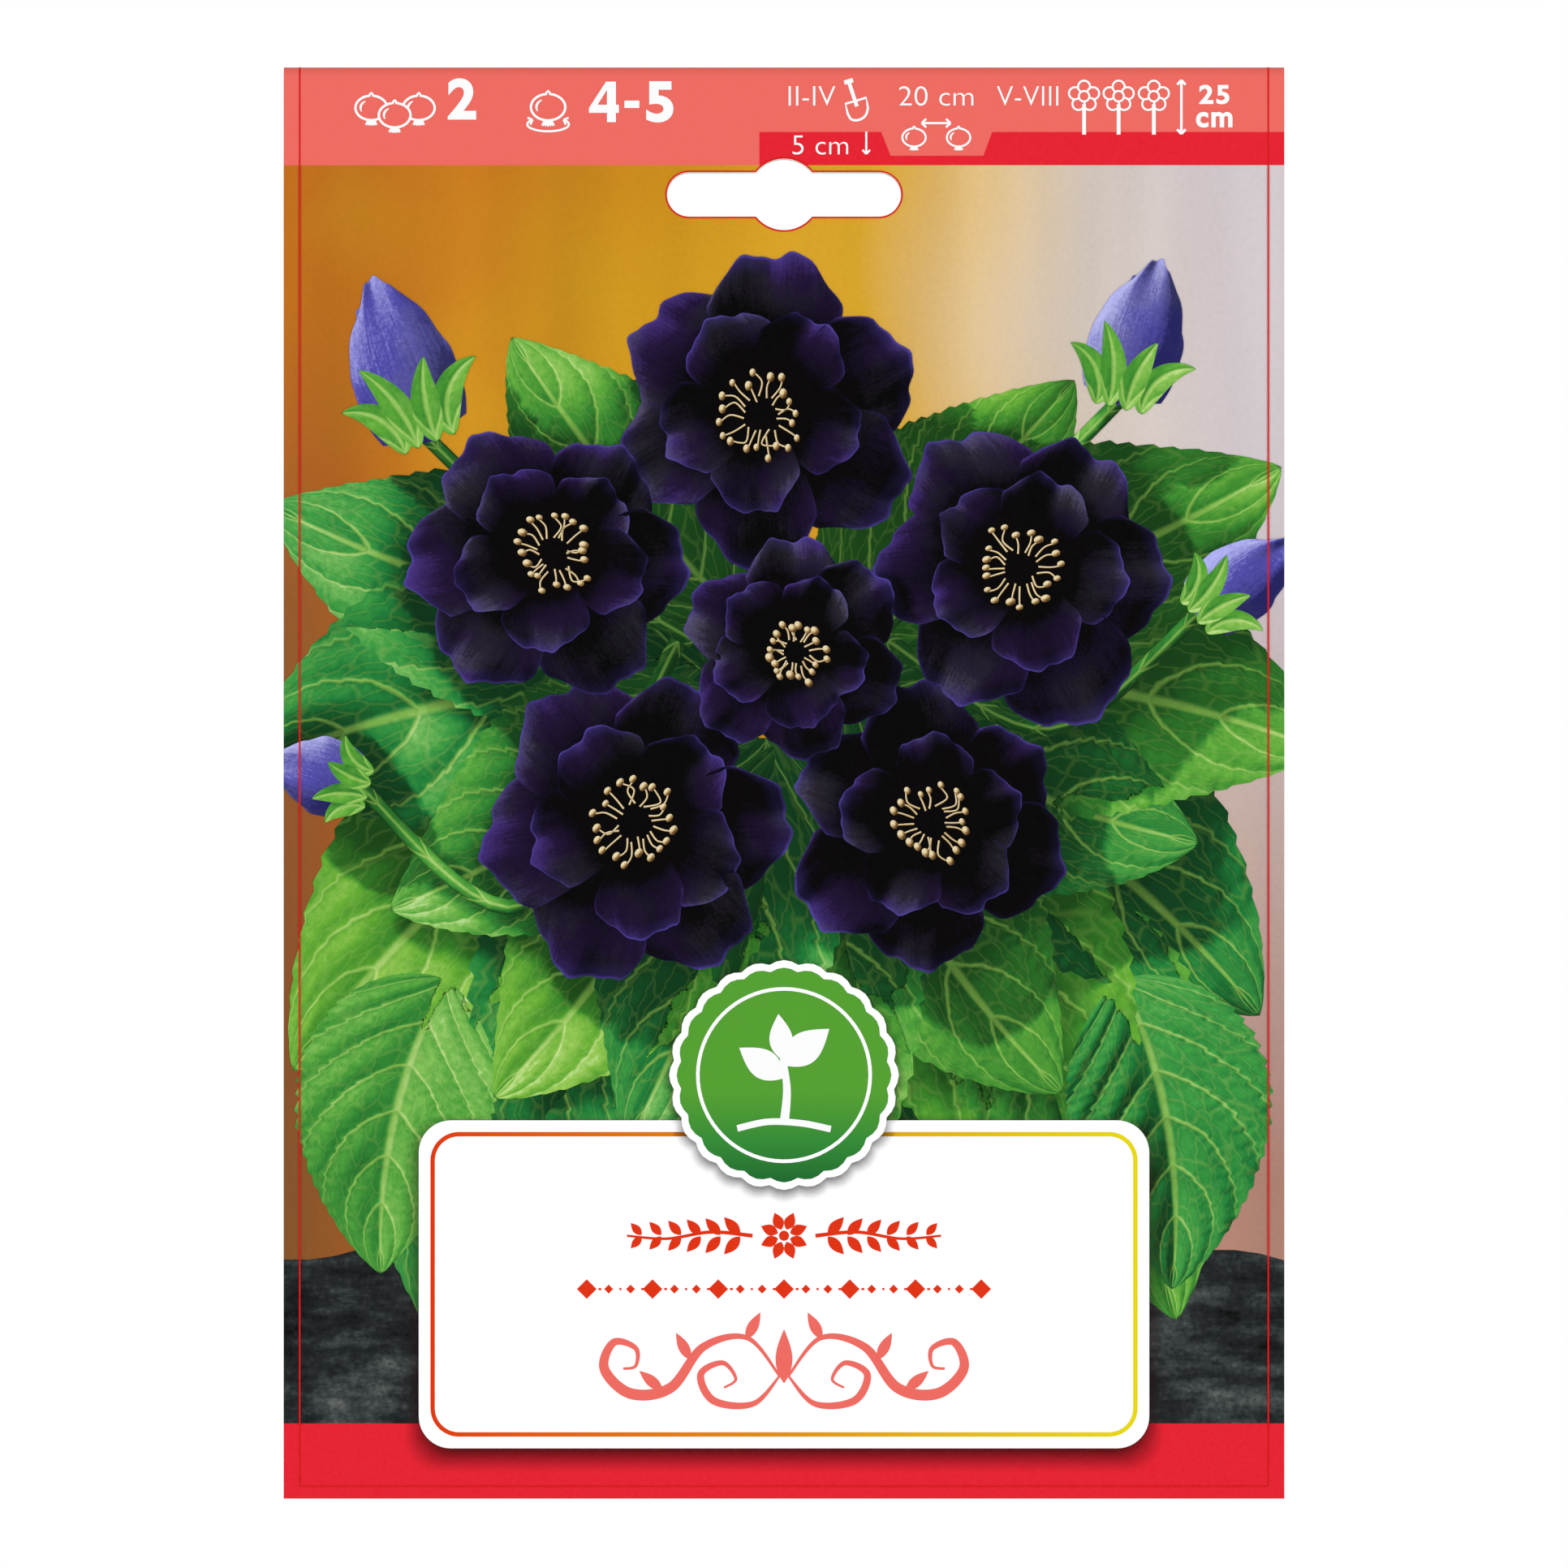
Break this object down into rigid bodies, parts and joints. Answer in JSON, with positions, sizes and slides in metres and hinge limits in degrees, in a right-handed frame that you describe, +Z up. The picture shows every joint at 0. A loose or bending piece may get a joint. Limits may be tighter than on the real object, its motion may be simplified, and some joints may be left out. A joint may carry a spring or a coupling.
{
  "type": "flower tuber packet",
  "caption": "Hanging packet: a printed fold-over card with a euro slot, and a clear vented bag of flower tubers in wood shavings behind it.",
  "frame": {"origin": "crown of the euro slot, where a display peg carries the packet, midway between panel and flap", "axes": "+Z up towards the folded edge, -Y out of the printed face, +X to the right as the face is read"},
  "size_m": [0.137, 0.0327, 0.196],
  "materials": {
    "coated_board": "satin",
    "clear_film": "gloss",
    "adhesive": "satin",
    "tuber_skin": "matte",
    "pale_wood": "matte"
  },
  "bodies": {
    "root": {"card": "coated_board", "film_bag": "clear_film", "adhesive_strip_front": "adhesive", "adhesive_strip_back": "adhesive", "tuber_left": "tuber_skin", "tuber_right": "tuber_skin", "wood_shavings": "pale_wood"}
  },
  "joints": []
}
